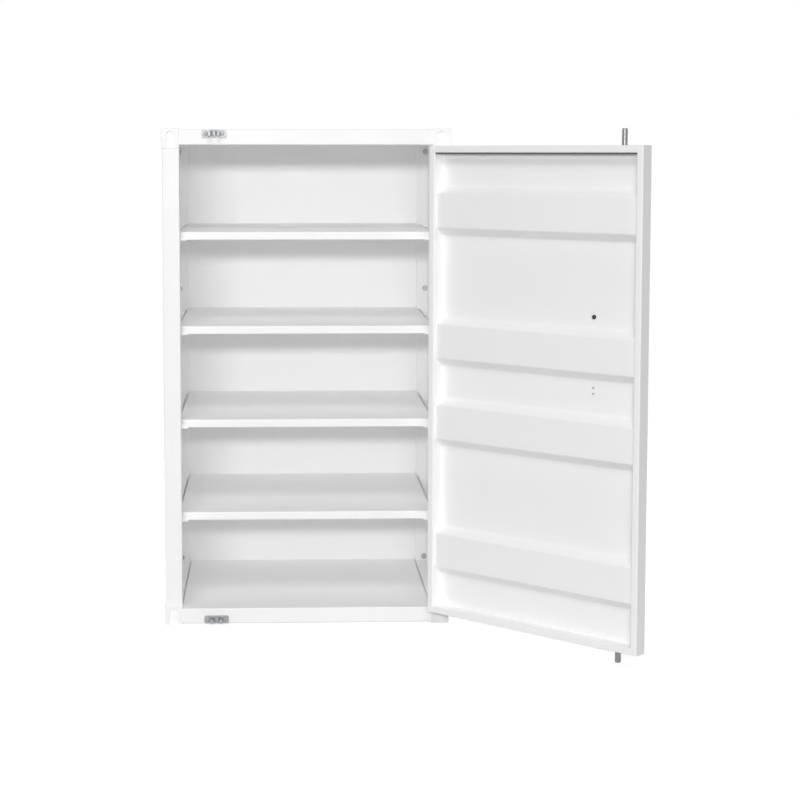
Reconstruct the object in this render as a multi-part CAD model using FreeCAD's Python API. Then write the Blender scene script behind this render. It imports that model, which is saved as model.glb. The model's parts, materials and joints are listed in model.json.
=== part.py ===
import FreeCAD
import Part
import math
import os

# White steel storage cabinet with one door, built like a small freight container.
# Millimetres. The origin is on the floor under the middle of the cabinet.
# +X is the hinge side, -Y is the front and +Z is up. The door stands open.

Vector = FreeCAD.Vector
X_AXIS = Vector(1, 0, 0)
Y_AXIS = Vector(0, 1, 0)
Z_AXIS = Vector(0, 0, 1)
SAME_PLACE = 0.01
PARALLEL = 0.999

# Overall size of the cabinet without the door
WIDTH = 512.0
DEPTH = 470.0
HEIGHT = 889.0

# Sheet, tube and bend sizes
SHEET = 0.8
TUBE_WALL = 1.2
TUBE_CORNER = 1.6
BEND_RADIUS = 2.5
PRESSED_BEND = 4.0

# Corner castings stand proud of the posts and rails between them
CASTING_DEPTH = 32.0
CASTING_HEIGHT = 35.0
CASTING_WALL = 6.0
CASTING_EDGE = 0.8
PROUD = 2.0
RECESS_WIDTH = 14.5
RECESS_LENGTH = 26.0
RECESS_TOP_LENGTH = 20.0
RECESS_SINK = 4.5

# Posts and rails
FRONT_POST_WIDTH = 30.0
SLIM_WIDTH = 25.0
RAIL_HEIGHT = 27.0
FRONT_RAIL_DEPTH = 46.0

# Panels
BACK_INSET = 19.0
FLOOR_TOP = 20.0
PAN_FLANGE = 14.0
ROOF_SINK = 3.0
FLOOR_SIDE_GAP = 3.0
SIDE_SINK = 1.0
SIDE_WAVE_DEPTH = 5.0
SIDE_WAVE_FLAT = 26.0
SIDE_WAVE_SLOPE = 11.0

# Shelves on folded angles
SHELF_COUNT = 4
SHELF_FIRST_BAY = 177.0
SHELF_TOP_BAY = 154.8
SHELF_LIP = 14.0
SHELF_SETBACK = 42.0
SHELF_SIDE_GAP = 1.0
SHELF_BACK_GAP = 0.5
ANGLE_SHEET = 1.2
ANGLE_LEDGE = 20.0
ANGLE_STAND_OFF = 4.5

# Screws that hold the rear frame together
FRAME_SCREW_COUNT = 4
FRAME_SCREW_FROM_FLOOR = 28.0
FRAME_SCREW_FROM_TOP = 41.0
FRAME_SCREW_FROM_SIDE = 10.0
FRAME_SCREW_HEAD = 5.5
FRAME_SCREW_SHANK = 2.5
FRAME_SCREW_LENGTH = 9.0
SCREW_HEAD_HEIGHT = 2.4
SCREW_HOLE_GAP = 0.1
CROSS_WIDTH = 1.2
CROSS_SINK = 1.2
CROSS_MARGIN = 1.5

# Door, inset between the posts
DOOR_GAP = 1.5
DOOR_THICKNESS = 25.0
STILE_WIDTH = 12.0
DOOR_PANEL_SINK = 2.0
RIB_HEIGHT = 16.0
RIB_SLOPE = 13.0
RIB_LENGTH = 86.0
RIB_FROM_END = 70.0
RIB_MIDDLE_GAP = 57.0
SEAL_HEIGHT = 3.0
SEAL_DEPTH = 6.0
SEAL_END_ROUND = 1.0
SEAL_END_GAP = 1.0
SEAL_FROM_LIP = 1.0
DOOR_OPEN_ANGLE = 135.0

# Weld-on hinges
HINGE_COUNT = 3
HINGE_FROM_END = 110.0
HINGE_STAND_OFF = 10.0
HINGE_PAST_OPENING = 8.0
KNUCKLES_PER_HINGE = 3
KNUCKLE_RADIUS = 7.0
KNUCKLE_HEIGHT = 22.0
KNUCKLE_GAP = 0.4
HINGE_PIN_RADIUS = 3.0
HINGE_PIN_HEAD = 5.0
HINGE_PIN_HEAD_HEIGHT = 2.0
PIN_PLAY = 0.06
LEAF_THICKNESS = 5.0
POST_LEAF_WIDTH = 18.0
DOOR_LEAF_WIDTH = 50.0
LEAF_POST_GAP = 1.0

# Locking rod with its guides and keepers
ROD_RADIUS = 5.0
ROD_FROM_FREE_EDGE = 60.0
ROD_STAND_OFF = 11.0
ROD_END_GAP = 3.0
ROD_END_ROUND = 1.5
LUG_REACH = 8.0
LUG_WIDTH = 3.0
LUG_HEIGHT = 6.0
LUG_FROM_END = 2.0
KEEPER_WIDTH = 44.0
KEEPER_HEIGHT = 14.0
KEEPER_PLATE = 3.0
KEEPER_CORNER = 3.0
KEEPER_FORK_WIDTH = 21.0
KEEPER_FORK_HEIGHT = 8.0
KEEPER_FORK_PAST_ROD = 7.0
KEEPER_POCKET_GAP = 0.5
KEEPER_MOUTH_GAP = 0.8
KEEPER_SCREW_SPREAD = 30.0
KEEPER_SCREW_HEAD = 3.4
KEEPER_SCREW_SHANK = 2.0
KEEPER_SCREW_LENGTH = 10.0
GUIDE_PLATE_WIDTH = 44.0
GUIDE_HEIGHT = 26.0
GUIDE_PLATE = 2.0
GUIDE_RADIUS = 10.0
ROD_PLAY = 0.08

# Handle on the rod, its rest and the swing catch over it
HANDLE_ABOVE_MIDDLE = 10.0
HANDLE_LENGTH = 150.0
HANDLE_HEIGHT = 20.0
HANDLE_THICKNESS = 6.0
HANDLE_TIP_FLAT = 2.0
HANDLE_SWUNG_OUT = 60.0
HUB_RADIUS = 10.0
HUB_HEIGHT = 26.0
HUB_CHEEK = 3.0
HUB_CHEEK_REACH = 33.0
HUB_CHEEK_HEIGHT = 18.0
HANDLE_START = 13.0
RIVET_FROM_ROD = 23.0
RIVET_RADIUS = 3.0
RIVET_HEAD = 5.0
RIVET_HEAD_HEIGHT = 1.8
REST_FROM_ROD = 46.0
REST_WIDTH = 26.0
REST_HEIGHT = 32.0
REST_PLATE = 2.0
REST_LEDGE = 14.0
REST_LEDGE_GAP = 0.5
REST_SCREW_SPREAD = 10.0
REST_SCREW_HEAD = 3.2
REST_SCREW_SHANK = 1.8
REST_SCREW_PAST = 1.5
CATCH_ABOVE_RIB = 18.0
CATCH_PAST_HANDLE = 6.0
CATCH_WIDTH = 20.0
CATCH_THICKNESS = 2.0
CATCH_HANDLE_GAP = 1.0
CATCH_SWUNG_ASIDE = 90.0
CATCH_BOLT_RADIUS = 3.0
CATCH_BOLT_HEAD = 6.0
CATCH_BOLT_HEAD_HEIGHT = 3.0
CATCH_BOLT_PAST = 2.0
CATCH_SPACER_RADIUS = 5.5
CATCH_PLAY = 0.08
CATCH_SIDE_PLAY = 0.1

# Planes and edges that follow from the sizes above
FRONT = -DEPTH / 2
REAR = DEPTH / 2
FRONT_FACE = FRONT + PROUD
REAR_FACE = REAR - PROUD
SIDE = WIDTH / 2
SIDE_FACE = SIDE - PROUD
OPENING_SIDE = SIDE_FACE - FRONT_POST_WIDTH
SLIM_SIDE = SIDE_FACE - SLIM_WIDTH
FRONT_POST_BACK = FRONT + CASTING_DEPTH
REAR_POST_FRONT = REAR - CASTING_DEPTH
FRONT_RAIL_BACK = FRONT_FACE + FRONT_RAIL_DEPTH
BACK_PANEL_BACK = REAR - BACK_INSET
BACK_PANEL_FRONT = BACK_PANEL_BACK - SHEET
LOW_RAIL = (PROUD, PROUD + RAIL_HEIGHT)
HIGH_RAIL = (HEIGHT - PROUD - RAIL_HEIGHT, HEIGHT - PROUD)
LOW_SIDE_RAIL = (PROUD, FLOOR_TOP)
OPENING_LOW = LOW_RAIL[1]
OPENING_HIGH = HIGH_RAIL[0]
SHELF_FIRST_TOP = FLOOR_TOP + SHELF_FIRST_BAY
SHELF_PITCH = (OPENING_HIGH - SHELF_TOP_BAY - SHELF_FIRST_TOP) / (SHELF_COUNT - 1)
SHELF_TOPS = [SHELF_FIRST_TOP + SHELF_PITCH * index for index in range(SHELF_COUNT)]
FRAME_SCREW_RUN = HEIGHT - FRAME_SCREW_FROM_FLOOR - FRAME_SCREW_FROM_TOP
FRAME_SCREW_PITCH = FRAME_SCREW_RUN / (FRAME_SCREW_COUNT - 1)
DOOR_SIDE = OPENING_SIDE - DOOR_GAP
DOOR_LOW = OPENING_LOW + DOOR_GAP
DOOR_HIGH = OPENING_HIGH - DOOR_GAP
DOOR_MIDDLE = (DOOR_LOW + DOOR_HIGH) / 2
DOOR_BACK = FRONT_FACE + DOOR_THICKNESS
DOOR_PANEL_FRONT = FRONT_FACE + DOOR_PANEL_SINK
RIB_TOPS = (
    DOOR_HIGH - RIB_FROM_END,
    DOOR_MIDDLE + RIB_MIDDLE_GAP / 2 + RIB_LENGTH,
    DOOR_MIDDLE - RIB_MIDDLE_GAP / 2,
    DOOR_LOW + RIB_FROM_END + RIB_LENGTH,
)
HINGE_X = OPENING_SIDE + HINGE_PAST_OPENING
HINGE_Y = FRONT_FACE - HINGE_STAND_OFF
HINGE_LENGTH = KNUCKLES_PER_HINGE * (KNUCKLE_HEIGHT + KNUCKLE_GAP) - KNUCKLE_GAP
ROD_X = -DOOR_SIDE + ROD_FROM_FREE_EDGE
ROD_Y = FRONT_FACE - ROD_STAND_OFF
HANDLE_Z = DOOR_MIDDLE + HANDLE_ABOVE_MIDDLE
CATCH_Z = RIB_TOPS[1] + CATCH_ABOVE_RIB
REST_X = ROD_X + REST_FROM_ROD


def block(x_span, y_span, z_span):
    """A box between two values on each axis."""
    size = (x_span[1] - x_span[0], y_span[1] - y_span[0], z_span[1] - z_span[0])
    return Part.makeBox(*size, Vector(x_span[0], y_span[0], z_span[0]))


def spread(middle, length):
    """The two ends of a length that is centred on a value."""
    return (middle - length / 2, middle + length / 2)


def touches(point, other):
    """Whether two points are the same place."""
    return point.distanceToPoint(other) < SAME_PLACE


def edges_along(shape, axis):
    """The straight edges that run along an axis."""
    picked = []
    for edge in shape.Edges:
        run = edge.Vertexes[-1].Point - edge.Vertexes[0].Point
        if run.Length > 0 and abs(run.normalize().dot(axis)) > PARALLEL:
            picked.append(edge)
    return picked


def round_bar(x_span, y_span, z_span, axis, radius):
    """A box whose edges along one axis are rounded."""
    shape = block(x_span, y_span, z_span)
    return shape.makeFillet(radius, edges_along(shape, axis))


def tube(x_span, y_span, z_span, axis):
    """A rectangular tube with rounded corners, open at both ends along its axis."""
    outside = round_bar(x_span, y_span, z_span, axis, TUBE_CORNER)
    spans = []
    for span, along in zip((x_span, y_span, z_span), axis):
        if along:
            spans.append(span)
        else:
            spans.append((span[0] + TUBE_WALL, span[1] - TUBE_WALL))
    return outside.cut(round_bar(*spans, axis, TUBE_CORNER - TUBE_WALL))


def cylinder(radius, height, foot, direction=Z_AXIS):
    """A round bar from its foot along a direction."""
    return Part.makeCylinder(radius, height, foot, direction)


def mirrored(shape):
    """The same piece on the other side of the cabinet."""
    return shape.mirror(Vector(0, 0, 0), X_AXIS)


def bent_path(points, radius):
    """Straight runs through the points, joined by bends of one radius."""
    edges = []
    start = points[0]
    for before, corner, after in zip(points, points[1:], points[2:]):
        inward = (before - corner).normalize()
        outward = (after - corner).normalize()
        half_turn = math.acos(-inward.dot(outward)) / 2
        setback = radius * math.tan(half_turn)
        middle = (inward + outward).normalize()
        centre = corner + middle * (radius / math.cos(half_turn))
        first = corner + inward * setback
        last = corner + outward * setback
        edges.append(Part.LineSegment(start, first).toShape())
        edges.append(Part.Arc(first, centre - middle * radius, last).toShape())
        start = last
    edges.append(Part.LineSegment(start, points[-1]).toShape())
    return edges


def pressed_sheet(points, thickness, length):
    """A sheet pressed along a path: thickness and length are vectors."""
    lower = bent_path(points, PRESSED_BEND)
    upper = [edge.translated(thickness) for edge in lower]
    ends = []
    for point in (points[0], points[-1]):
        ends.append(Part.LineSegment(point, point + thickness).toShape())
    wire = Part.Wire(Part.__sortEdges__(lower + upper + ends))
    return Part.Face(wire).extrude(length)


def pan(x_span, y_span, top, flange):
    """A sheet with its four edges folded down."""
    outside = block(x_span, y_span, (top - flange, top))
    inside = block(
        (x_span[0] + SHEET, x_span[1] - SHEET),
        (y_span[0] + SHEET, y_span[1] - SHEET),
        (top - flange, top - SHEET),
    )
    return outside.cut(inside)


def recess(centre, facing, upright, length):
    """The round-ended hollow of a casting, cut from one face inwards."""
    across = facing.cross(upright)
    straight = length - RECESS_WIDTH
    half_run = upright * (straight / 2)
    corner = centre - across * (RECESS_WIDTH / 2) - half_run
    slab = Part.makePlane(RECESS_WIDTH, straight, corner, facing, across)
    cutter = slab.extrude(facing * -RECESS_SINK)
    for end in (centre + half_run, centre - half_run):
        cutter = cutter.fuse(cylinder(RECESS_WIDTH / 2, RECESS_SINK, end, facing * -1))
    return cutter


def screw(head, shank, length, seat, outward):
    """A pan-head screw with a cross recess: its seat is the face under the head."""
    body = cylinder(head, SCREW_HEAD_HEIGHT, seat, outward)
    top = seat + outward * SCREW_HEAD_HEIGHT
    rim = [edge for edge in body.Edges if edge.Closed and touches(edge.CenterOfMass, top)]
    body = body.makeFillet(SCREW_HEAD_HEIGHT / 2, rim)
    body = body.fuse(cylinder(shank, length, seat, outward * -1))
    arm = head - CROSS_MARGIN
    for along in (Z_AXIS, X_AXIS):
        across = outward.cross(along)
        corner = top - along * arm - across * (CROSS_WIDTH / 2)
        slot = Part.makePlane(2 * arm, CROSS_WIDTH, corner, outward, along)
        body = body.cut(slot.extrude(outward * -CROSS_SINK))
    return body


def save(name, *shapes):
    """Write one node: a single solid, or a group of like ones."""
    shape = shapes[0] if len(shapes) == 1 else Part.makeCompound(list(shapes))
    solids = shape.Solids
    if not shape.isValid() or not solids:
        raise ValueError("the solid of " + name + " is not valid")
    shape.exportStep("parts/" + name + ".step")
    print(name, len(solids), "solid", round(shape.Volume / 1000, 2), "cm3")


def on_open_door(shape):
    """Turn a piece of the closed door to where the open door holds it."""
    turned = shape.copy()
    turned.rotate(Vector(HINGE_X, HINGE_Y, 0), Z_AXIS, DOOR_OPEN_ANGLE)
    return turned


def on_turned_rod(shape):
    """Turn a piece of the rod from the stowed handle to the swung-out one, on the open door."""
    turned = shape.copy()
    turned.rotate(Vector(ROD_X, ROD_Y, 0), Z_AXIS, -HANDLE_SWUNG_OUT)
    return on_open_door(turned)


def frame_screw_holes():
    """Holes in the right rear post and castings for the frame screws."""
    x = SIDE - FRAME_SCREW_FROM_SIDE
    holes = []
    for index in range(FRAME_SCREW_COUNT):
        z = FRAME_SCREW_FROM_FLOOR + FRAME_SCREW_PITCH * index
        foot = Vector(x, REAR_POST_FRONT, z)
        holes.append(cylinder(FRAME_SCREW_SHANK + SCREW_HOLE_GAP, FRAME_SCREW_LENGTH, foot, Y_AXIS))
    return Part.makeCompound(holes)


def corner_casting(inner_side, y_span, outward_y, upper):
    """A hollow corner block with oval recesses, open towards its post."""
    z_span = (HEIGHT - CASTING_HEIGHT, HEIGHT) if upper else (0.0, CASTING_HEIGHT)
    shape = block((inner_side, SIDE), y_span, z_span)
    shape = shape.makeFillet(CASTING_EDGE, shape.Edges)
    hollow_z = (z_span[0], z_span[1] - CASTING_WALL) if upper else (z_span[0] + CASTING_WALL, z_span[1])
    hollow = block(
        (inner_side + CASTING_WALL, SIDE - CASTING_WALL),
        (y_span[0] + CASTING_WALL, y_span[1] - CASTING_WALL),
        hollow_z,
    )
    shape = shape.cut(hollow)
    middle_x = (inner_side + SIDE) / 2
    middle_y = sum(y_span) / 2
    middle_z = sum(z_span) / 2
    face_y = y_span[0] if outward_y < 0 else y_span[1]
    shape = shape.cut(recess(Vector(middle_x, face_y, middle_z), Y_AXIS * outward_y, Z_AXIS, RECESS_LENGTH))
    shape = shape.cut(recess(Vector(SIDE, middle_y, middle_z), X_AXIS, Z_AXIS, RECESS_LENGTH))
    if upper:
        shape = shape.cut(recess(Vector(middle_x, middle_y, HEIGHT), Z_AXIS, Y_AXIS, RECESS_TOP_LENGTH))
    return shape


def make_castings():
    """Eight corner castings, two widths: the rear ones match the slim rear posts."""
    corners = (
        ("front", OPENING_SIDE, (FRONT, FRONT_POST_BACK), -1),
        ("rear", SLIM_SIDE, (REAR_POST_FRONT, REAR), 1),
    )
    for place, inner_side, y_span, outward_y in corners:
        for level, upper in (("bottom", False), ("top", True)):
            shape = corner_casting(inner_side, y_span, outward_y, upper)
            if place == "rear":
                shape = shape.cut(frame_screw_holes())
            save("casting_" + place + "_right_" + level, shape)
            save("casting_" + place + "_left_" + level, mirrored(shape))


def make_posts():
    """Four upright tubes between the castings."""
    z_span = (CASTING_HEIGHT, HEIGHT - CASTING_HEIGHT)
    front = tube((OPENING_SIDE, SIDE_FACE), (FRONT_FACE, FRONT_POST_BACK), z_span, Z_AXIS)
    rear = tube((SLIM_SIDE, SIDE_FACE), (REAR_POST_FRONT, REAR_FACE), z_span, Z_AXIS)
    rear = rear.cut(frame_screw_holes())
    for place, shape in (("front", front), ("rear", rear)):
        save("post_" + place + "_right", shape)
        save("post_" + place + "_left", mirrored(shape))


def keeper_screw_places(level_z):
    """Where the two screws of a keeper go through the front rail."""
    places = []
    for side in (-1, 1):
        places.append(Vector(ROD_X + side * KEEPER_SCREW_SPREAD / 2, FRONT_FACE - KEEPER_PLATE, level_z))
    return places


def keeper_level(upper):
    """The height of a keeper's middle on its rail."""
    if upper:
        return HIGH_RAIL[1] - KEEPER_HEIGHT / 2
    return LOW_RAIL[0] + KEEPER_HEIGHT / 2


def keeper_screw_holes(level_z):
    """Holes for one keeper's screws."""
    radius = KEEPER_SCREW_SHANK + SCREW_HOLE_GAP
    holes = [cylinder(radius, KEEPER_SCREW_LENGTH, place, Y_AXIS) for place in keeper_screw_places(level_z)]
    return Part.makeCompound(holes)


def make_rails():
    """Front, rear and side tubes at the top and the bottom: the low side ones are level with the floor."""
    levels = (("bottom", LOW_RAIL, LOW_SIDE_RAIL, False), ("top", HIGH_RAIL, HIGH_RAIL, True))
    for level, z_span, side_z_span, upper in levels:
        front = tube((-OPENING_SIDE, OPENING_SIDE), (FRONT_FACE, FRONT_RAIL_BACK), z_span, X_AXIS)
        save("rail_front_" + level, front.cut(keeper_screw_holes(keeper_level(upper))))
        rear = tube((-SLIM_SIDE, SLIM_SIDE), (BACK_PANEL_BACK, REAR_FACE), z_span, X_AXIS)
        save("rail_rear_" + level, rear)
        side = tube((SLIM_SIDE, SIDE_FACE), (FRONT_POST_BACK, REAR_POST_FRONT), side_z_span, Y_AXIS)
        save("rail_right_" + level, side)
        save("rail_left_" + level, mirrored(side))


def side_panel():
    """The right wall: a sheet pressed into upright waves between the posts."""
    outer = SIDE_FACE - SIDE_SINK
    inner = outer - SIDE_WAVE_DEPTH
    length = REAR_POST_FRONT - FRONT_POST_BACK
    period = 2 * (SIDE_WAVE_FLAT + SIDE_WAVE_SLOPE)
    waves = int((length - SIDE_WAVE_FLAT) // period)
    margin = (length - waves * period + SIDE_WAVE_FLAT) / 2
    points = [Vector(outer, FRONT_POST_BACK, FLOOR_TOP)]
    y = FRONT_POST_BACK + margin
    for wave in range(waves):
        steps = ((outer, 0), (inner, SIDE_WAVE_SLOPE), (inner, SIDE_WAVE_FLAT), (outer, SIDE_WAVE_SLOPE))
        for x, advance in steps:
            y += advance
            points.append(Vector(x, y, FLOOR_TOP))
        y += SIDE_WAVE_FLAT
    points.append(Vector(outer, REAR_POST_FRONT, FLOOR_TOP))
    return pressed_sheet(points, X_AXIS * -SHEET, Z_AXIS * (OPENING_HIGH - FLOOR_TOP))


def make_panels():
    """Side walls, back, floor and roof."""
    wall = side_panel()
    save("side_panel_right", wall)
    save("side_panel_left", mirrored(wall))
    back_x = (-SLIM_SIDE, SLIM_SIDE)
    save("back_panel", block(back_x, (BACK_PANEL_FRONT, BACK_PANEL_BACK), (LOW_RAIL[0], HIGH_RAIL[1])))
    between = (FRONT_RAIL_BACK, BACK_PANEL_FRONT)
    floor_side = SLIM_SIDE - FLOOR_SIDE_GAP
    save("floor_panel", pan((-floor_side, floor_side), between, FLOOR_TOP, PAN_FLANGE))
    save("roof_panel", pan(back_x, between, HIGH_RAIL[1] - ROOF_SINK, PAN_FLANGE))


def shelf(top):
    """A shelf folded from one sheet, with a bent front edge."""
    side = SLIM_SIDE - SHELF_SIDE_GAP
    y_span = (FRONT + SHELF_SETBACK, BACK_PANEL_FRONT - SHELF_BACK_GAP)
    shape = pan((-side, side), y_span, top, SHELF_LIP)
    for radius, setback in ((BEND_RADIUS, 0.0), (BEND_RADIUS - SHEET, SHEET)):
        middle = Vector(0, y_span[0] + setback, top - setback)
        bend = [edge for edge in edges_along(shape, X_AXIS) if touches(edge.CenterOfMass, middle)]
        shape = shape.makeFillet(radius, bend)
    return shape


def shelf_angle(top):
    """The right support angle of a shelf, between the front and the rear post."""
    y_span = (FRONT_POST_BACK, REAR_POST_FRONT)
    outer = SLIM_SIDE + ANGLE_STAND_OFF
    seat = top - SHELF_LIP
    ledge = block((outer - ANGLE_LEDGE, outer), y_span, (seat - ANGLE_SHEET, seat))
    upright = block((outer - ANGLE_SHEET, outer), y_span, (seat - ANGLE_SHEET, top - SHEET))
    return ledge.fuse(upright).removeSplitter()


def make_shelves():
    """Shelves and the angles that carry them."""
    for number, top in enumerate(SHELF_TOPS, start=1):
        save("shelf_" + str(number), shelf(top))
    angles = [shelf_angle(top) for top in SHELF_TOPS]
    save("shelf_angles_right", *angles)
    save("shelf_angles_left", *[mirrored(angle) for angle in angles])


def make_frame_screws():
    """The screws in the front faces of the rear posts."""
    screws = []
    for side in (-1, 1):
        for index in range(FRAME_SCREW_COUNT):
            z = FRAME_SCREW_FROM_FLOOR + FRAME_SCREW_PITCH * index
            seat = Vector(side * (SIDE - FRAME_SCREW_FROM_SIDE), REAR_POST_FRONT, z)
            sizes = (FRAME_SCREW_HEAD, FRAME_SCREW_SHANK, FRAME_SCREW_LENGTH)
            screws.append(screw(*sizes, seat, Y_AXIS * -1))
    save("frame_screws", *screws)


def keeper(level_z):
    """A forked keeper: the rod end goes in through its mouth and its lug turns behind a prong."""
    z_span = spread(level_z, KEEPER_HEIGHT)
    plate_y = (FRONT_FACE - KEEPER_PLATE, FRONT_FACE)
    plate = round_bar(spread(ROD_X, KEEPER_WIDTH), plate_y, z_span, Y_AXIS, KEEPER_CORNER)
    fork_front = ROD_Y - KEEPER_FORK_PAST_ROD
    fork_y = (fork_front, plate_y[0])
    fork = block(spread(ROD_X, KEEPER_FORK_WIDTH), fork_y, spread(level_z, KEEPER_FORK_HEIGHT))
    fork = fork.makeFillet(CASTING_EDGE, edges_along(fork, Z_AXIS))
    shape = plate.fuse(fork).removeSplitter()
    axis_foot = Vector(ROD_X, ROD_Y, z_span[0])
    shape = shape.cut(cylinder(LUG_REACH + KEEPER_POCKET_GAP, KEEPER_HEIGHT, axis_foot))
    mouth_width = 2 * (ROD_RADIUS + KEEPER_MOUTH_GAP)
    mouth = block(spread(ROD_X, mouth_width), (fork_front, ROD_Y), z_span)
    shape = shape.cut(mouth)
    return shape.cut(keeper_screw_holes(level_z))


def make_keepers():
    """Keepers on the front rails with their screws."""
    screws = []
    for level, upper in (("bottom", False), ("top", True)):
        level_z = keeper_level(upper)
        save("keeper_" + level, keeper(level_z))
        for seat in keeper_screw_places(level_z):
            sizes = (KEEPER_SCREW_HEAD, KEEPER_SCREW_SHANK, KEEPER_SCREW_LENGTH)
            screws.append(screw(*sizes, seat, Y_AXIS * -1))
    save("keeper_screws", *screws)


def hinge_levels():
    """The heights of the hinges' middles."""
    low = DOOR_LOW + HINGE_FROM_END
    high = DOOR_HIGH - HINGE_FROM_END
    step = (high - low) / (HINGE_COUNT - 1)
    return [low + step * index for index in range(HINGE_COUNT)]


def knuckle(z_low):
    """One knuckle of a hinge, solid."""
    return cylinder(KNUCKLE_RADIUS, KNUCKLE_HEIGHT, Vector(HINGE_X, HINGE_Y, z_low))


def pin_bore(z_middle):
    """The bore through all the knuckles of a hinge."""
    foot = Vector(HINGE_X, HINGE_Y, z_middle - HINGE_LENGTH / 2)
    return cylinder(HINGE_PIN_RADIUS + PIN_PLAY, HINGE_LENGTH, foot)


def post_leaf(z_middle):
    """The leaf on the front post, with the upper and the lower knuckle."""
    lift = KNUCKLE_HEIGHT + KNUCKLE_GAP
    shape = None
    for z_low in (z_middle - KNUCKLE_HEIGHT / 2 - lift, z_middle - KNUCKLE_HEIGHT / 2 + lift):
        arm = block(
            (HINGE_X, HINGE_X + POST_LEAF_WIDTH),
            (HINGE_Y + LEAF_THICKNESS / 2, FRONT_FACE),
            (z_low, z_low + KNUCKLE_HEIGHT),
        )
        ear = knuckle(z_low).fuse(arm)
        shape = ear if shape is None else shape.fuse(ear)
    bridge = block(
        (HINGE_X + KNUCKLE_RADIUS + LEAF_POST_GAP, HINGE_X + POST_LEAF_WIDTH),
        (HINGE_Y + LEAF_THICKNESS / 2, FRONT_FACE),
        spread(z_middle, 2 * lift),
    )
    return shape.fuse(bridge).removeSplitter().cut(pin_bore(z_middle))


def door_leaf(z_middle):
    """The strap on the closed door's front, with the middle knuckle."""
    z_span = spread(z_middle, KNUCKLE_HEIGHT)
    arm = block(
        (DOOR_SIDE - DOOR_LEAF_WIDTH, HINGE_X),
        (HINGE_Y + LEAF_THICKNESS / 2, FRONT_FACE - LEAF_POST_GAP),
        z_span,
    )
    strap = block((DOOR_SIDE - DOOR_LEAF_WIDTH, DOOR_SIDE), (FRONT_FACE - LEAF_POST_GAP, FRONT_FACE), z_span)
    shape = knuckle(z_span[0]).fuse(arm).fuse(strap).removeSplitter()
    return shape.cut(pin_bore(z_middle))


def hinge_pin(z_middle):
    """A headed pin that hangs in the upper knuckle."""
    foot = Vector(HINGE_X, HINGE_Y, z_middle - HINGE_LENGTH / 2)
    head = Vector(HINGE_X, HINGE_Y, z_middle + HINGE_LENGTH / 2)
    shape = cylinder(HINGE_PIN_RADIUS, HINGE_LENGTH, foot)
    return shape.fuse(cylinder(HINGE_PIN_HEAD, HINGE_PIN_HEAD_HEIGHT, head)).removeSplitter()


def make_hinges():
    """Hinges: leaves welded to the post, straps welded to the door, and pins."""
    levels = hinge_levels()
    for number, z_middle in enumerate(levels, start=1):
        save("hinge_post_leaf_" + str(number), post_leaf(z_middle))
        save("hinge_door_leaf_" + str(number), on_open_door(door_leaf(z_middle)))
    save("hinge_pins", *[hinge_pin(z_middle) for z_middle in levels])


def rod_side_holes():
    """Holes in the closed door's panel for the bolt and the screws beside the rod."""
    length = DOOR_BACK - ROD_Y
    bolt_foot = Vector(REST_X, ROD_Y, CATCH_Z)
    holes = [cylinder(CATCH_BOLT_RADIUS + SCREW_HOLE_GAP, length, bolt_foot, Y_AXIS)]
    for z in spread(HANDLE_Z, REST_SCREW_SPREAD):
        screw_foot = Vector(REST_X, ROD_Y, z)
        holes.append(cylinder(REST_SCREW_SHANK + SCREW_HOLE_GAP, length, screw_foot, Y_AXIS))
    return Part.makeCompound(holes)


def door_panel():
    """The closed door's skin: a sheet with ribs pressed towards the inside."""
    side = DOOR_SIDE - STILE_WIDTH
    high = DOOR_HIGH - STILE_WIDTH
    low = DOOR_LOW + STILE_WIDTH
    points = [Vector(-side, DOOR_PANEL_FRONT, high)]
    for top in RIB_TOPS:
        foot = top - RIB_LENGTH
        raised = DOOR_PANEL_FRONT + RIB_HEIGHT
        points.append(Vector(-side, DOOR_PANEL_FRONT, top))
        points.append(Vector(-side, raised, top - RIB_SLOPE))
        points.append(Vector(-side, raised, foot + RIB_SLOPE))
        points.append(Vector(-side, DOOR_PANEL_FRONT, foot))
    points.append(Vector(-side, DOOR_PANEL_FRONT, low))
    sheet = pressed_sheet(points, Y_AXIS * SHEET, X_AXIS * (2 * side))
    return sheet.cut(rod_side_holes())


def make_door():
    """The door's four frame tubes, its ribbed skin and the seal under the top tube."""
    y_span = (FRONT_FACE, DOOR_BACK)
    z_span = (DOOR_LOW, DOOR_HIGH)
    inner_side = DOOR_SIDE - STILE_WIDTH
    across = (-inner_side, inner_side)
    pieces = {
        "door_hinge_stile": tube((inner_side, DOOR_SIDE), y_span, z_span, Z_AXIS),
        "door_free_stile": tube((-DOOR_SIDE, -inner_side), y_span, z_span, Z_AXIS),
        "door_top_member": tube(across, y_span, (DOOR_HIGH - STILE_WIDTH, DOOR_HIGH), X_AXIS),
        "door_bottom_member": tube(across, y_span, (DOOR_LOW, DOOR_LOW + STILE_WIDTH), X_AXIS),
        "door_panel": door_panel(),
    }
    seal_side = inner_side - SEAL_END_GAP
    seal_top = DOOR_HIGH - STILE_WIDTH
    seal_back = DOOR_BACK - TUBE_CORNER - SEAL_FROM_LIP
    seal = block(
        (-seal_side, seal_side),
        (seal_back - SEAL_DEPTH, seal_back),
        (seal_top - SEAL_HEIGHT, seal_top),
    )
    pieces["door_top_seal"] = seal.makeFillet(SEAL_END_ROUND, edges_along(seal, Y_AXIS))
    for name, shape in pieces.items():
        save(name, on_open_door(shape))


def guide_levels():
    """The middles of the flats above the first rib, above the last one and below it."""
    return (
        (DOOR_HIGH - STILE_WIDTH + RIB_TOPS[0]) / 2,
        (RIB_TOPS[2] - RIB_LENGTH + RIB_TOPS[3]) / 2,
        (RIB_TOPS[3] - RIB_LENGTH + DOOR_LOW + STILE_WIDTH) / 2,
    )


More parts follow.
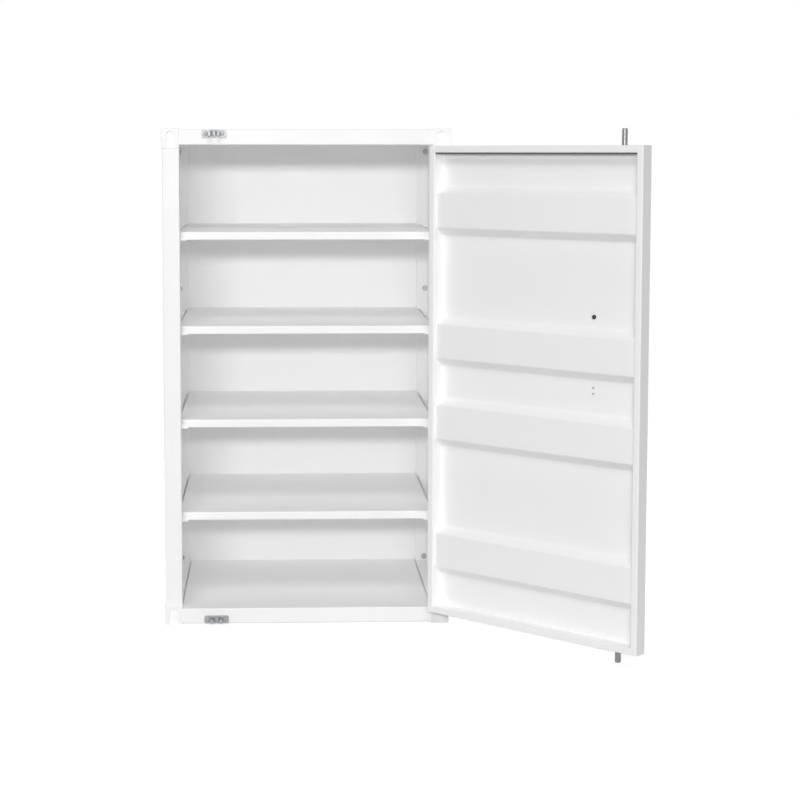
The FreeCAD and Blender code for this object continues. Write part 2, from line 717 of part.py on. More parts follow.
def rod_guide(level_z):
    """A guide welded to the door's skin that the rod turns in."""
    z_span = spread(level_z, GUIDE_HEIGHT)
    plate_y = (DOOR_PANEL_FRONT - GUIDE_PLATE, DOOR_PANEL_FRONT)
    plate = block(spread(ROD_X, GUIDE_PLATE_WIDTH), plate_y, z_span)
    web = block(spread(ROD_X, 2 * GUIDE_RADIUS), (ROD_Y, plate_y[0]), z_span)
    barrel = cylinder(GUIDE_RADIUS, GUIDE_HEIGHT, Vector(ROD_X, ROD_Y, z_span[0]))
    bore = cylinder(ROD_RADIUS + ROD_PLAY, GUIDE_HEIGHT, Vector(ROD_X, ROD_Y, z_span[0]))
    return plate.fuse(web).fuse(barrel).removeSplitter().cut(bore)


def lock_rod():
    """The rod with a lug near each end, which points to the hinge side with the handle stowed."""
    low = ROD_END_GAP
    high = HEIGHT - ROD_END_GAP
    rod = cylinder(ROD_RADIUS, high - low, Vector(ROD_X, ROD_Y, low))
    rod = rod.makeFillet(ROD_END_ROUND, [edge for edge in rod.Edges if edge.Closed])
    for z_low in (low + LUG_FROM_END, high - LUG_FROM_END - LUG_HEIGHT):
        lug = block((ROD_X, ROD_X + LUG_REACH), spread(ROD_Y, LUG_WIDTH), (z_low, z_low + LUG_HEIGHT))
        rod = rod.fuse(lug)
    return rod.removeSplitter()


def handle_hub():
    """The collar on the rod with two cheeks that hold the handle bar."""
    z_low = HANDLE_Z - HUB_HEIGHT / 2
    collar = cylinder(HUB_RADIUS, HUB_HEIGHT, Vector(ROD_X, ROD_Y, z_low))
    cheek_z = spread(HANDLE_Z, HUB_CHEEK_HEIGHT)
    cheeks = block(
        (ROD_X, ROD_X + HUB_CHEEK_REACH),
        spread(ROD_Y, HANDLE_THICKNESS + 2 * HUB_CHEEK),
        cheek_z,
    )
    slot = block(
        (ROD_X + HANDLE_START, ROD_X + HUB_CHEEK_REACH),
        spread(ROD_Y, HANDLE_THICKNESS),
        (z_low, z_low + HUB_HEIGHT),
    )
    shape = collar.fuse(cheeks).removeSplitter().cut(slot)
    shape = shape.cut(cylinder(ROD_RADIUS, HUB_HEIGHT, Vector(ROD_X, ROD_Y, z_low)))
    return shape.cut(rivet_shank())


def rivet_shank():
    """The part of the handle's rivet inside the hub and the bar."""
    reach = HANDLE_THICKNESS + 2 * HUB_CHEEK
    foot = Vector(ROD_X + RIVET_FROM_ROD, ROD_Y - reach / 2, HANDLE_Z)
    return cylinder(RIVET_RADIUS, reach, foot, Y_AXIS)


def handle_rivet():
    """The rivet that holds the handle bar in its hub."""
    reach = HANDLE_THICKNESS + 2 * HUB_CHEEK
    shape = rivet_shank()
    for outward in (-1, 1):
        seat = Vector(ROD_X + RIVET_FROM_ROD, ROD_Y + outward * reach / 2, HANDLE_Z)
        shape = shape.fuse(cylinder(RIVET_HEAD, RIVET_HEAD_HEIGHT, seat, Y_AXIS * outward))
    return shape.removeSplitter()


def handle_bar():
    """A flat bar with a round end that points to the hinge side when stowed."""
    bar = block(
        (ROD_X + HANDLE_START, ROD_X + HANDLE_LENGTH),
        spread(ROD_Y, HANDLE_THICKNESS),
        spread(HANDLE_Z, HANDLE_HEIGHT),
    )
    tip_x = ROD_X + HANDLE_LENGTH - SAME_PLACE
    tip = [edge for edge in edges_along(bar, Y_AXIS) if edge.CenterOfMass.x > tip_x]
    bar = bar.makeFillet((HANDLE_HEIGHT - HANDLE_TIP_FLAT) / 2, tip)
    return bar.cut(rivet_shank())


def handle_rest():
    """A plate on the door's skin with a ledge under the stowed handle."""
    plate_y = (DOOR_PANEL_FRONT - REST_PLATE, DOOR_PANEL_FRONT)
    plate = block(spread(REST_X, REST_WIDTH), plate_y, spread(HANDLE_Z, REST_HEIGHT))
    ledge_top = HANDLE_Z - HANDLE_HEIGHT / 2 - REST_LEDGE_GAP
    ledge = block(
        spread(REST_X, REST_WIDTH),
        (plate_y[0] - REST_LEDGE, plate_y[0]),
        (ledge_top - REST_PLATE, ledge_top),
    )
    return plate.fuse(ledge).removeSplitter().cut(rod_side_holes())


def rest_screws():
    """The two screws of the handle's rest, through the door's skin."""
    screws = []
    length = REST_PLATE + SHEET + REST_SCREW_PAST
    for z in spread(HANDLE_Z, REST_SCREW_SPREAD):
        seat = Vector(REST_X, DOOR_PANEL_FRONT - REST_PLATE, z)
        screws.append(screw(REST_SCREW_HEAD, REST_SCREW_SHANK, length, seat, Y_AXIS * -1))
    return screws


def catch_inner_face():
    """The plane of the catch's back, just outside the stowed handle."""
    return ROD_Y - HANDLE_THICKNESS / 2 - CATCH_HANDLE_GAP


def swing_catch():
    """A round-ended plate that hangs over the stowed handle from its bolt."""
    reach = CATCH_Z - HANDLE_Z + HANDLE_HEIGHT / 2 + CATCH_PAST_HANDLE
    face = catch_inner_face()
    y_span = (face - CATCH_THICKNESS, face)
    plate = block(spread(REST_X, CATCH_WIDTH), y_span, (CATCH_Z - reach, CATCH_Z))
    for z in (CATCH_Z, CATCH_Z - reach):
        plate = plate.fuse(cylinder(CATCH_WIDTH / 2, CATCH_THICKNESS, Vector(REST_X, y_span[0], z), Y_AXIS))
    pivot = Vector(REST_X, y_span[0], CATCH_Z)
    hole = cylinder(CATCH_BOLT_RADIUS + CATCH_PLAY, CATCH_THICKNESS, pivot, Y_AXIS)
    shape = plate.removeSplitter().cut(hole)
    shape.rotate(Vector(REST_X, 0, CATCH_Z), Y_AXIS, -CATCH_SWUNG_ASIDE)
    return shape


def catch_bolt():
    """The bolt that the catch turns on, with a shoulder that keeps it clear of the handle."""
    face = catch_inner_face()
    shoulder_top = face + CATCH_SIDE_PLAY
    shoulder = cylinder(
        CATCH_SPACER_RADIUS,
        DOOR_PANEL_FRONT - shoulder_top,
        Vector(REST_X, shoulder_top, CATCH_Z),
        Y_AXIS,
    )
    head_seat = face - CATCH_THICKNESS - CATCH_SIDE_PLAY
    shank = cylinder(
        CATCH_BOLT_RADIUS,
        DOOR_PANEL_FRONT + SHEET + CATCH_BOLT_PAST - head_seat,
        Vector(REST_X, head_seat, CATCH_Z),
        Y_AXIS,
    )
    head = cylinder(CATCH_BOLT_HEAD, CATCH_BOLT_HEAD_HEIGHT, Vector(REST_X, head_seat, CATCH_Z), Y_AXIS * -1)
    return shoulder.fuse(shank).fuse(head).removeSplitter()


def make_lock():
    """The locking rod, its guides, the handle, its rest and the swing catch."""
    for number, level_z in enumerate(guide_levels(), start=1):
        save("rod_guide_" + str(number), on_open_door(rod_guide(level_z)))
    save("lock_rod", on_turned_rod(lock_rod()))
    save("handle_hub", on_turned_rod(handle_hub()))
    save("handle_bar", on_turned_rod(handle_bar()))
    save("handle_rivet", on_turned_rod(handle_rivet()))
    save("handle_rest", on_open_door(handle_rest()))
    save("handle_rest_screws", *[on_open_door(item) for item in rest_screws()])
    save("swing_catch", on_open_door(swing_catch()))
    save("catch_bolt", on_open_door(catch_bolt()))


os.makedirs("parts", exist_ok=True)
make_castings()
make_posts()
make_rails()
make_panels()
make_shelves()
make_frame_screws()
make_keepers()
make_hinges()
make_door()
make_lock()
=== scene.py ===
import json
import math

import bmesh
import bpy
from mathutils import Matrix, Vector


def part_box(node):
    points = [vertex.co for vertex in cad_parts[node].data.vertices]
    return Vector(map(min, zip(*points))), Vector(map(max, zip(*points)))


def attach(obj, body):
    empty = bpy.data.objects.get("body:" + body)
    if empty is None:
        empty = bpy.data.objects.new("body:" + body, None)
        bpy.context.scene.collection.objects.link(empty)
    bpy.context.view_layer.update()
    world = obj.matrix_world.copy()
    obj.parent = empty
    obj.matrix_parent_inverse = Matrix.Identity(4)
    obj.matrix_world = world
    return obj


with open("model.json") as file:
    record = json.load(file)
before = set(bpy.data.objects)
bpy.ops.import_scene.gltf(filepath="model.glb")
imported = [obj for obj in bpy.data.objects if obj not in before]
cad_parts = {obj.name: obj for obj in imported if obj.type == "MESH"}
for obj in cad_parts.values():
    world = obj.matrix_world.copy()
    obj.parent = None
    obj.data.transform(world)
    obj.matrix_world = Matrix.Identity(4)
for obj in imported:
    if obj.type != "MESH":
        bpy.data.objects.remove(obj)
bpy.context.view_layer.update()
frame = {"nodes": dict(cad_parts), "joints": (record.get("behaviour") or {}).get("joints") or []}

# Corner castings: eight hollow blocks of cast steel with an oval recess in each outer face.
# They are welded to the ends of the posts and rails, and the whole frame is powder coated
# after welding, so they carry the same white film over a slightly coarser skin.

MM = 0.001
COAT_WHITES = ("FAFAFA", "FDFDFD")
COAT_PATCH_MM = 90.0
COAT_GLOSS = (0.36, 0.44)
# Most of a noise texture's values lie between these two.
NOISE_SPREAD = (0.3, 0.7)


def linear(hex_colour):
    """An sRGB hex value as a linear colour with alpha."""
    shares = [int(hex_colour[at:at + 2], 16) / 255 for at in (0, 2, 4)]
    parts = [c / 12.92 if c <= 0.04045 else ((c + 0.055) / 1.055) ** 2.4 for c in shares]
    return (*parts, 1.0)


def per_metre(millimetres):
    """The texture scale that makes one pattern cell this wide."""
    return 1.0 / (millimetres * MM)


def add_node(tree, kind, inputs=None, **settings):
    """One node: settings are its own options, and inputs are values or sockets to link from."""
    node = tree.nodes.new(kind)
    for option, value in settings.items():
        setattr(node, option, value)
    for socket, value in (inputs or {}).items():
        if isinstance(value, bpy.types.NodeSocket):
            tree.links.new(value, node.inputs[socket])
        else:
            node.inputs[socket].default_value = value
    return node


def new_material(name):
    """An empty material with its node tree and its object-space position."""
    material = bpy.data.materials.new(name)
    material.use_nodes = True
    tree = material.node_tree
    tree.nodes.clear()
    place = add_node(tree, "ShaderNodeTexCoord").outputs["Object"]
    return material, tree, place


def powder_coat(name, peel_mm, peel_depth_mm):
    """White polyester powder baked on steel: a satin film whose orange peel breaks the shine.

    The film is a little thinner, greyer and glossier in broad patches."""
    material, tree, place = new_material(name)
    peel = add_node(
        tree,
        "ShaderNodeTexNoise",
        {"Vector": place, "Scale": per_metre(peel_mm), "Detail": 1.5, "Roughness": 0.45},
    )
    bump = add_node(
        tree,
        "ShaderNodeBump",
        {"Height": peel.outputs["Fac"], "Strength": 0.6, "Distance": peel_depth_mm * MM},
    )
    film = add_node(
        tree,
        "ShaderNodeTexNoise",
        {"Vector": place, "Scale": per_metre(COAT_PATCH_MM), "Detail": 2.0},
    ).outputs["Fac"]
    tint = add_node(
        tree,
        "ShaderNodeMix",
        {"Factor": film, "A": linear(COAT_WHITES[0]), "B": linear(COAT_WHITES[1])},
        data_type="RGBA",
    )
    gloss = add_node(
        tree,
        "ShaderNodeMapRange",
        {
            "Value": film,
            "From Min": NOISE_SPREAD[0],
            "From Max": NOISE_SPREAD[1],
            "To Min": COAT_GLOSS[0],
            "To Max": COAT_GLOSS[1],
        },
    )
    coat = add_node(
        tree,
        "ShaderNodeBsdfPrincipled",
        {
            "Base Color": tint.outputs["Result"],
            "Roughness": gloss.outputs["Result"],
            "IOR": 1.5,
            "Normal": bump.outputs["Normal"],
        },
    )
    add_node(tree, "ShaderNodeOutputMaterial", {"Surface": coat.outputs["BSDF"]})
    return material


def finish_nodes(material, *names):
    """Give CAD nodes a material; a name may end in * for all the nodes that start with it."""
    for name in names:
        for node, item in frame["nodes"].items():
            if node == name or (name.endswith("*") and node.startswith(name[:-1])):
                for material_slot in item.material_slots:
                    material_slot.material = material


# Sand casting leaves grains of about 1 mm; they are drawn 4 mm wide so that they show.
coated_casting = powder_coat("powder_coat_on_cast_steel", peel_mm=4.0, peel_depth_mm=0.10)
finish_nodes(coated_casting, "casting_*")

# Posts and rails: rectangular steel tubes with rolled corners, cut square and welded between
# the castings, 2 mm behind their faces. Powder coated together with them.

# The orange peel on tube and sheet is about 2 mm wide; it is drawn 3 mm wide so that it shows.
coated_tube = powder_coat("powder_coat_on_steel_tube", peel_mm=3.0, peel_depth_mm=0.05)
finish_nodes(coated_tube, "post_*", "rail_*")

# Walls, back, floor and roof: thin steel sheet, the side walls pressed into upright waves
# and the floor and roof folded into shallow pans. The back is held by short tack welds on
# its rear face, and all of it is coated white.

TACK_LENGTH = 18.0
TACK_LEG = 3.0
TACK_PITCH = 140.0
RIPPLE = 2.4
RIPPLE_STEPS = 4
RIPPLE_FALL = 0.16
RIPPLE_LAG = 0.35
BEAD_STEPS = 6
BEAD_END = 0.2
BEAD_FLATNESS = 0.82


def weld_bead(bead_mesh, start, end, along_face, up_face, leg):
    """A rippled fillet weld in the corner between two faces, from start to end, in metres."""
    run = end - start
    count = max(RIPPLE_STEPS, round(run.length / (RIPPLE * MM) * RIPPLE_STEPS))
    rows = []
    for step in range(count + 1):
        share = step / count
        to_end = min(share, 1 - share) * run.length / leg
        taper = math.sqrt(min(1.0, to_end * (2 - to_end))) if to_end < 1 else 1.0
        phase = (step % RIPPLE_STEPS) / RIPPLE_STEPS
        reach = leg * (BEAD_END + (1 - BEAD_END) * taper) * (1 - RIPPLE_FALL * phase)
        row = []
        for turn in range(BEAD_STEPS + 1):
            angle = math.pi / 2 * turn / BEAD_STEPS
            lag = run.normalized() * (leg * RIPPLE_LAG * math.sin(2 * angle) * taper)
            # The bead is flatter than a quarter round.
            swell = BEAD_FLATNESS + (1 - BEAD_FLATNESS) * abs(math.cos(2 * angle))
            out = along_face * math.cos(angle) + up_face * math.sin(angle)
            row.append(bead_mesh.verts.new(start + run * share + out * (reach * swell) - lag))
        row.append(bead_mesh.verts.new(start + run * share))
        rows.append(row)
    for row, following in zip(rows, rows[1:]):
        for at in range(len(row)):
            after = (at + 1) % len(row)
            bead_mesh.faces.new((row[at], row[after], following[after], following[at]))
    bead_mesh.faces.new(rows[0])
    bead_mesh.faces.new(list(reversed(rows[-1])))


def tack_row(bead_mesh, first, last, along_face):
    """Evenly spaced tack welds on the rear face of the back, on the line from first to last."""
    run = last - first
    count = int(run.length / (TACK_PITCH * MM))
    half_tack = run.normalized() * (TACK_LENGTH * MM / 2)
    for index in range(count):
        middle = first + run * ((index + 0.5) / count)
        ends = (middle - half_tack, middle + half_tack)
        weld_bead(bead_mesh, *ends, along_face, Vector((0, 1, 0)), TACK_LEG * MM)


def piece_from(name, shape_mesh, body, material):
    """Finish a mesh as a smooth-shaded piece that rides on a body."""
    bmesh.ops.recalc_face_normals(shape_mesh, faces=shape_mesh.faces)
    mesh = bpy.data.meshes.new(name)
    shape_mesh.to_mesh(mesh)
    shape_mesh.free()
    for polygon in mesh.polygons:
        polygon.use_smooth = True
    mesh.materials.append(material)
    piece = bpy.data.objects.new(name, mesh)
    bpy.context.scene.collection.objects.link(piece)
    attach(piece, body)


# Cold-rolled sheet is smoother than the tube, so its film is a little flatter.
coated_sheet = powder_coat("powder_coat_on_steel_sheet", peel_mm=3.0, peel_depth_mm=0.04)
finish_nodes(coated_sheet, "side_panel_*", "back_panel", "floor_panel", "roof_panel")

back_low, back_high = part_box("back_panel")
rail_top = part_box("rail_rear_bottom")[1].z
rail_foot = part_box("rail_rear_top")[0].z
tacks = bmesh.new()
for side, edge_x in ((1, back_low.x), (-1, back_high.x)):
    foot = Vector((edge_x, back_high.y, rail_top))
    head = Vector((edge_x, back_high.y, rail_foot))
    tack_row(tacks, foot, head, Vector((side, 0, 0)))
for side, edge_z in ((1, rail_top), (-1, rail_foot)):
    left = Vector((back_low.x, back_high.y, edge_z))
    right = Vector((back_high.x, back_high.y, edge_z))
    tack_row(tacks, left, right, Vector((0, 0, side)))
piece_from("back_panel_tacks", tacks, "cabinet", coated_sheet)

# Shelves and shelf angles: four shelves folded from coated sheet with a rounded front lip,
# each lying on two folded angles between the front and the rear posts. The dark slits beside
# them are the open gaps between the shelves and the uprights of the angles.

finish_nodes(coated_sheet, "shelf_*")

# Frame screws: bright zinc-plated pan-head screws with a cross recess, in the front faces of
# the rear posts. The lowest two hold the rear castings.

ZINC_GRAIN_DEPTH = 0.03


def zinc_plate(name, greys, cloud_mm, grain_mm, smoothest, roughest):
    """Zinc plating: a grey metal, clouded between a dull and a brighter grey, with a satin shine.

    Its grain of about 0.2 mm is drawn four to six times as wide so that it shows."""
    material, tree, place = new_material(name)
    cloud = add_node(
        tree,
        "ShaderNodeTexNoise",
        {"Vector": place, "Scale": per_metre(cloud_mm), "Detail": 3.0},
    ).outputs["Fac"]
    tint = add_node(
        tree,
        "ShaderNodeMix",
        {"Factor": cloud, "A": linear(greys[0]), "B": linear(greys[1])},
        data_type="RGBA",
    )
    satin = add_node(
        tree,
        "ShaderNodeMapRange",
        {
            "Value": cloud,
            "From Min": NOISE_SPREAD[0],
            "From Max": NOISE_SPREAD[1],
            "To Min": roughest,
            "To Max": smoothest,
        },
    )
    grain = add_node(
        tree,
        "ShaderNodeTexNoise",
        {"Vector": place, "Scale": per_metre(grain_mm), "Detail": 2.0},
    )
    bump = add_node(
        tree,
        "ShaderNodeBump",
        {"Height": grain.outputs["Fac"], "Strength": 0.3, "Distance": ZINC_GRAIN_DEPTH * MM},
    )
    metal = add_node(
        tree,
        "ShaderNodeBsdfPrincipled",
        {
            "Base Color": tint.outputs["Result"],
            "Metallic": 1.0,
            "Roughness": satin.outputs["Result"],
            "Normal": bump.outputs["Normal"],
        },
    )
    add_node(tree, "ShaderNodeOutputMaterial", {"Surface": metal.outputs["BSDF"]})
    return material


zinc_fastener = zinc_plate(
    "bright_zinc_on_rolled_screws",
    ("AAABAC", "C6C7C8"),
    cloud_mm=4.0,
    grain_mm=0.8,
    smoothest=0.28,
    roughest=0.38,
)
finish_nodes(zinc_fastener, "frame_screws")

# Keepers: two forked blocks of zinc-plated cast steel that take the ends of the locking rod.
# Each is held on its front rail by two pan-head screws with the same dull plating.

zinc_casting = zinc_plate(
    "dull_zinc_on_cast_steel",
    ("87888A", "A3A4A6"),
    cloud_mm=7.0,
    grain_mm=1.2,
    smoothest=0.46,
    roughest=0.60,
)
finish_nodes(zinc_casting, "keeper_bottom", "keeper_top", "keeper_screws")

# Hinges: three weld-on hinges of thick steel strip with a bare zinc-plated pin. One leaf is
# welded to the front post and the strap to the door's stile, and both are coated over.

LEAF_BEAD_LEG = 2.2
HINGE_NUMBERS = (1, 2, 3)
DOOR_HALF_WIDTH = 222.5
STILE_WIDTH = 12.0
OUTWARD = Vector((0, -1, 0))


def weld_above_and_below(bead_mesh, node, x_span, face_y, leg):
    """Beads along a CAD piece's top and bottom edge, on the outer face of the closed door."""
    piece_low, piece_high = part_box(node)
    for level, side in ((piece_low.z, -1), (piece_high.z, 1)):
        start, end = (Vector((x * MM, face_y, level)) for x in x_span)
        weld_bead(bead_mesh, start, end, Vector((0, 0, side)), OUTWARD, leg * MM)


finish_nodes(coated_casting, "hinge_post_leaf_*", "hinge_door_leaf_*")
finish_nodes(zinc_fastener, "hinge_pins")

post_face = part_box("post_front_right")[0].y
leaf_welds = bmesh.new()
for number in HINGE_NUMBERS:
    leaf_low, leaf_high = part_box("hinge_post_leaf_%d" % number)
    weld_bead(
        leaf_welds,
        Vector((leaf_high.x, post_face, leaf_low.z)),
        Vector((leaf_high.x, post_face, leaf_high.z)),
        Vector((1, 0, 0)),
        OUTWARD,
        LEAF_BEAD_LEG * MM,
    )
piece_from("hinge_leaf_welds", leaf_welds, "cabinet", coated_casting)

# The door's small forms are laid out on the closed door and turned to the open one with it.
door_joint = next(joint for joint in frame["joints"] if joint["name"] == "door_hinge")
hinge_axis = Vector(door_joint["pos_m"])
open_angle = math.radians(-door_joint["range_deg"][0])
door_turn = (
    Matrix.Translation(hinge_axis)
    @ Matrix.Rotation(open_angle, 4, "Z")
    @ Matrix.Translation(-hinge_axis)
)
# The straps are welded where they cross the 12 mm face of the stile.
stile_span = (DOOR_HALF_WIDTH - STILE_WIDTH, DOOR_HALF_WIDTH)
strap_welds = bmesh.new()
for number in HINGE_NUMBERS:
    strap = "hinge_door_leaf_%d" % number
    weld_above_and_below(strap_welds, strap, stile_span, post_face, LEAF_BEAD_LEG)
bmesh.ops.transform(strap_welds, matrix=door_turn, verts=strap_welds.verts)
piece_from("hinge_strap_welds", strap_welds, "door", coated_casting)

# Door: a frame of four slim tubes round one skin of sheet steel, with four wide ribs pressed
# towards the inside. It is welded up and powder coated like the frame.

finish_nodes(coated_tube, "door_*")

# Seal: an extruded strip of dark grey rubber stuck to the underside of the door's top tube, close
# to the tube's inner face. Its dark grey is painted shade: it stands for the shadow gap under the
# tube, and its level is set to that shadow line's darkness.

RUBBER_LINE_DEPTH = 0.1


def black_rubber(name, greys, line_mm):
    """Black EPDM rubber: dull, with faint lines left by the die or mould and a greyish bloom."""
    material, tree, place = new_material(name)
    lines = add_node(
        tree,
        "ShaderNodeTexNoise",
        {"Vector": place, "Scale": per_metre(line_mm), "Detail": 2.0},
    ).outputs["Fac"]
    bloom = add_node(
        tree,
        "ShaderNodeMix",
        {"Factor": lines, "A": linear(greys[0]), "B": linear(greys[1])},
        data_type="RGBA",
    )
    bump = add_node(
        tree,
        "ShaderNodeBump",
        {"Height": lines, "Strength": 0.3, "Distance": RUBBER_LINE_DEPTH * MM},
    )
    rubber = add_node(
        tree,
        "ShaderNodeBsdfPrincipled",
        {
            "Base Color": bloom.outputs["Result"],
            "Roughness": 0.7,
            "IOR": 1.52,
            "Normal": bump.outputs["Normal"],
        },
    )
    add_node(tree, "ShaderNodeOutputMaterial", {"Surface": rubber.outputs["BSDF"]})
    return material


# Die lines are about 0.3 mm apart; they are drawn as 2 mm patches so that they show.
# The seal's greys are painted shade for the shadow line under the door's top tube.
seal_painted_shade = black_rubber("rubber_seal_as_painted_shade", ("5A5B5B", "6A6B6B"), line_mm=2.0)
finish_nodes(seal_painted_shade, "door_top_seal")

# Rod guides: three steel blocks with a bore for the locking rod, welded to the door's skin
# above and below their plates and coated with the door.

ROD_X = -162.5
GUIDE_HALF_WIDTH = 22.0
GUIDE_BEAD_LEG = 1.8
GUIDE_NUMBERS = (1, 2, 3)
SKIN_SINK = 2.0

finish_nodes(coated_casting, "rod_guide_*")

skin_face = post_face + SKIN_SINK * MM
guide_span = (ROD_X - GUIDE_HALF_WIDTH, ROD_X + GUIDE_HALF_WIDTH)
guide_welds = bmesh.new()
for number in GUIDE_NUMBERS:
    guide = "rod_guide_%d" % number
    weld_above_and_below(guide_welds, guide, guide_span, skin_face, GUIDE_BEAD_LEG)
bmesh.ops.transform(guide_welds, matrix=door_turn, verts=guide_welds.verts)
piece_from("rod_guide_welds", guide_welds, "door", coated_casting)

# Locking rod: a full-height bar of drawn steel with a lug near each end, which turns in its
# guides. It is zinc plated, smoother and a little darker than the keepers.

zinc_rod = zinc_plate(
    "zinc_plate_on_drawn_steel",
    ("77787A", "8F9092"),
    cloud_mm=5.0,
    grain_mm=0.9,
    smoothest=0.32,
    roughest=0.42,
)
finish_nodes(zinc_rod, "lock_rod")

# Handle: a flat bar riveted between two cheeks of a hub that is pressed on the rod. A bent
# rest under it is screwed to the door's skin. All are hot-rolled steel with a dull zinc plate.

zinc_bar = zinc_plate(
    "dull_zinc_on_rolled_steel",
    ("7C7D7F", "949597"),
    cloud_mm=6.0,
    grain_mm=1.0,
    smoothest=0.50,
    roughest=0.62,
)
finish_nodes(zinc_bar, "handle_hub", "handle_bar", "handle_rivet", "handle_rest")
finish_nodes(zinc_fastener, "handle_rest_screws")

# Swing catch: a round-ended zinc-plated plate on a shoulder bolt, which hangs over the
# stowed handle. A black push-on cap covers the bolt's end on the inside of the door.

# Radius and height of the cap's outline, from its foot to its crown.
CAP_PROFILE = ((3.7, 0.0), (3.7, 1.2), (3.45, 2.2), (2.7, 3.0), (1.5, 3.45), (0.0, 3.6))
CAP_STEPS = 32
CAP_MERGE = 0.01
SKIN_THICKNESS = 0.8

finish_nodes(zinc_bar, "swing_catch")
finish_nodes(zinc_fastener, "catch_bolt")

catch_joint = next(joint for joint in frame["joints"] if joint["name"] == "catch_swing")
cap_seat = door_turn.inverted() @ Vector(catch_joint["pos_m"])
cap_seat.y = skin_face + SKIN_THICKNESS * MM
cap_shape = bmesh.new()
outline = [cap_shape.verts.new((radius * MM, 0, height * MM)) for radius, height in CAP_PROFILE]
outline_edges = [cap_shape.edges.new(pair) for pair in zip(outline, outline[1:])]
bmesh.ops.spin(
    cap_shape,
    geom=outline + outline_edges,
    axis=(0, 0, 1),
    cent=(0, 0, 0),
    steps=CAP_STEPS,
    angle=2 * math.pi,
)
bmesh.ops.remove_doubles(cap_shape, verts=cap_shape.verts, dist=CAP_MERGE * MM)
bmesh.ops.holes_fill(cap_shape, edges=cap_shape.edges)
towards_inside = Matrix.Translation(cap_seat) @ Matrix.Rotation(math.radians(-90), 4, "X")
bmesh.ops.transform(cap_shape, matrix=door_turn @ towards_inside, verts=cap_shape.verts)
# The mould's fine marks are drawn as 2 mm patches, like the seal's lines.
cap_rubber = black_rubber("moulded_black_rubber", ("242525", "303131"), line_mm=2.0)
piece_from("catch_bolt_cap", cap_shape, "door", cap_rubber)

# Floor: a plain pale studio floor that fades into the white background. What the camera and
# the metal see of it is lifted most of the way to white, and the shadow stays.

# Metres.
FLOOR_RADIUS = 6.0
FLOOR_FADE = (0.7, 2.6)
FLOOR_DROP = 0.0003
FLOOR_STEPS = 96
FLOOR_PALE = "D8D8D8"
FLOOR_LIFT = 0.64


def seen_directly(tree):
    """1 for rays from the camera or from a shiny or clear surface, and 0 for the lighting."""
    ray = add_node(tree, "ShaderNodeLightPath")
    shown = add_node(
        tree,
        "ShaderNodeMath",
        {0: ray.outputs["Is Camera Ray"], 1: ray.outputs["Is Glossy Ray"]},
        operation="MAXIMUM",
    )
    shown_through = add_node(
        tree,
        "ShaderNodeMath",
        {0: shown.outputs["Value"], 1: ray.outputs["Is Transmission Ray"]},
        operation="MAXIMUM",
    )
    return shown_through.outputs["Value"]


floor_shape = bmesh.new()
bmesh.ops.create_circle(floor_shape, cap_ends=True, radius=FLOOR_RADIUS, segments=FLOOR_STEPS)
floor_mesh = bpy.data.meshes.new("studio_floor")
floor_shape.to_mesh(floor_mesh)
floor_shape.free()
studio_floor = bpy.data.objects.new("studio_floor", floor_mesh)
studio_floor.location.z = -FLOOR_DROP
bpy.context.scene.collection.objects.link(studio_floor)

painted_floor, floor_tree, floor_place = new_material("matt_painted_floor")
away = add_node(floor_tree, "ShaderNodeVectorMath", {0: floor_place}, operation="LENGTH")
fade = add_node(
    floor_tree,
    "ShaderNodeMapRange",
    {"Value": away.outputs["Value"], "From Min": FLOOR_FADE[0], "From Max": FLOOR_FADE[1]},
    interpolation_type="SMOOTHSTEP",
)
matt = add_node(floor_tree, "ShaderNodeBsdfDiffuse", {"Color": linear(FLOOR_PALE)})
lifted = add_node(
    floor_tree,
    "ShaderNodeMath",
    {0: seen_directly(floor_tree), 1: FLOOR_LIFT},
    operation="MULTIPLY",
)
lift = add_node(floor_tree, "ShaderNodeEmission", {"Strength": lifted.outputs["Value"]})
lit = add_node(
    floor_tree,
    "ShaderNodeAddShader",
    {0: matt.outputs["BSDF"], 1: lift.outputs["Emission"]},
)
clear = add_node(floor_tree, "ShaderNodeBsdfTransparent")
faded = add_node(
    floor_tree,
    "ShaderNodeMixShader",
    {0: fade.outputs["Result"], 1: lit.outputs["Shader"], 2: clear.outputs["BSDF"]},
)
add_node(floor_tree, "ShaderNodeOutputMaterial", {"Surface": faded.outputs["Shader"]})
floor_mesh.materials.append(painted_floor)

# Studio light: a white surround, a wide low strip just above the camera that reaches into the
# cabinet, a softbox high in front for the shelf tops, and two behind for the back and sides.

SURROUND_FILL = 0.16
# Name, place and size in metres, and watts.
LAMPS = (
    ("front_strip", (-0.35, -4.4, 1.28), (1.6, 0.2), 69.5),
    ("upper_softbox", (-0.5, -6.0, 5.3), (3.8, 1.9), 190.0),
    ("rear_left_softbox", (-2.6, 2.8, 1.6), (1.6, 1.6), 60.0),
    ("rear_right_softbox", (2.6, 2.8, 1.6), (1.6, 1.6), 60.0),
)
LAMP_AIM = Vector((0.1, -0.2, 0.45))
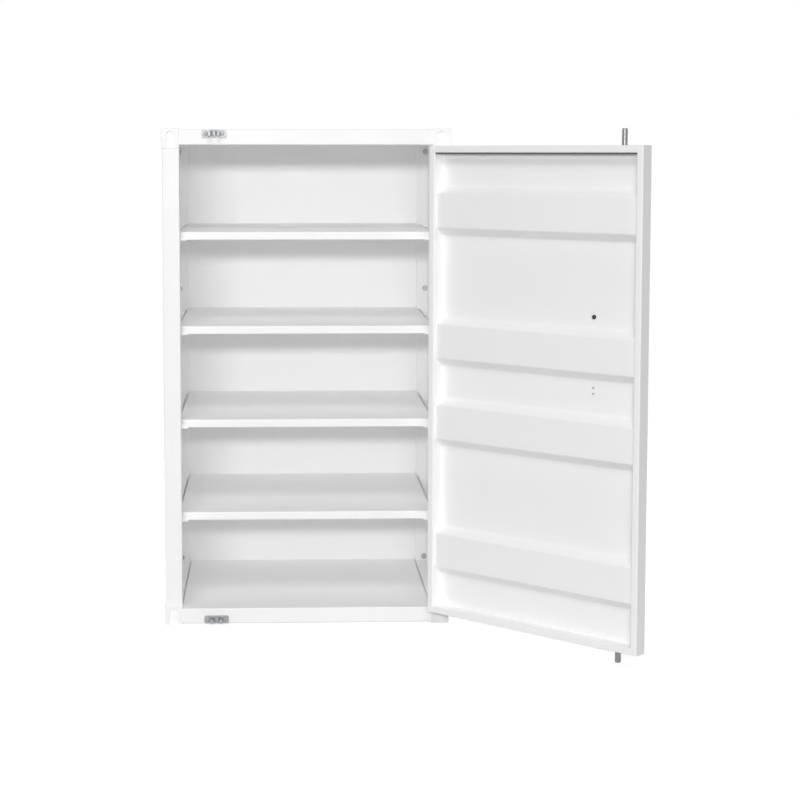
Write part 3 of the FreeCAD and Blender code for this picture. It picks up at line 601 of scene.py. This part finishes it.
# White walls pass light on many times before it fades, so the inside needs more bounces.
LIGHT_BOUNCES = 20
DIFFUSE_BOUNCES = 16

bpy.context.scene.cycles.max_bounces = LIGHT_BOUNCES
bpy.context.scene.cycles.diffuse_bounces = DIFFUSE_BOUNCES

for name, place, size, watts in LAMPS:
    lamp = bpy.data.lights.new(name, "AREA")
    lamp.shape = "RECTANGLE"
    lamp.size, lamp.size_y = size
    lamp.energy = watts
    lamp_object = bpy.data.objects.new(name, lamp)
    lamp_object.location = place
    lamp_object.rotation_euler = (LAMP_AIM - Vector(place)).to_track_quat("-Z", "Y").to_euler()
    bpy.context.scene.collection.objects.link(lamp_object)

surround = bpy.data.worlds.new("white_surround")
bpy.context.scene.world = surround
surround.use_nodes = True
sky = surround.node_tree
sky.nodes.clear()
level = add_node(
    sky,
    "ShaderNodeMapRange",
    {"Value": seen_directly(sky), "To Min": SURROUND_FILL, "To Max": 1.0},
)
white = add_node(
    sky,
    "ShaderNodeBackground",
    {"Color": linear("FFFFFF"), "Strength": level.outputs["Result"]},
)
add_node(sky, "ShaderNodeOutputWorld", {"Surface": white.outputs["Background"]})

# Camera: a long lens near the height of the cabinet's top, a little to the left of its middle.
# The small shift places the cabinet in the frame as the photograph does.

CAMERA_PLACE = (-57.7, -3583.8, 848.3)
CAMERA_PITCH = -5.091
CAMERA_YAW = -1.885
CAMERA_LENS = 85.1
CAMERA_SENSOR = 36.0
CAMERA_SHIFT = (0.08, -0.10)

camera_lens = bpy.data.cameras.new("studio_camera")
camera_lens.lens = CAMERA_LENS
camera_lens.sensor_width = CAMERA_SENSOR
camera_lens.shift_x, camera_lens.shift_y = CAMERA_SHIFT
studio_camera = bpy.data.objects.new("studio_camera", camera_lens)
studio_camera.location = Vector(CAMERA_PLACE) * MM
studio_camera.rotation_euler = (math.radians(90 + CAMERA_PITCH), 0, math.radians(CAMERA_YAW))
bpy.context.scene.collection.objects.link(studio_camera)
bpy.context.scene.camera = studio_camera
bpy.context.scene.view_settings.view_transform = "Standard"
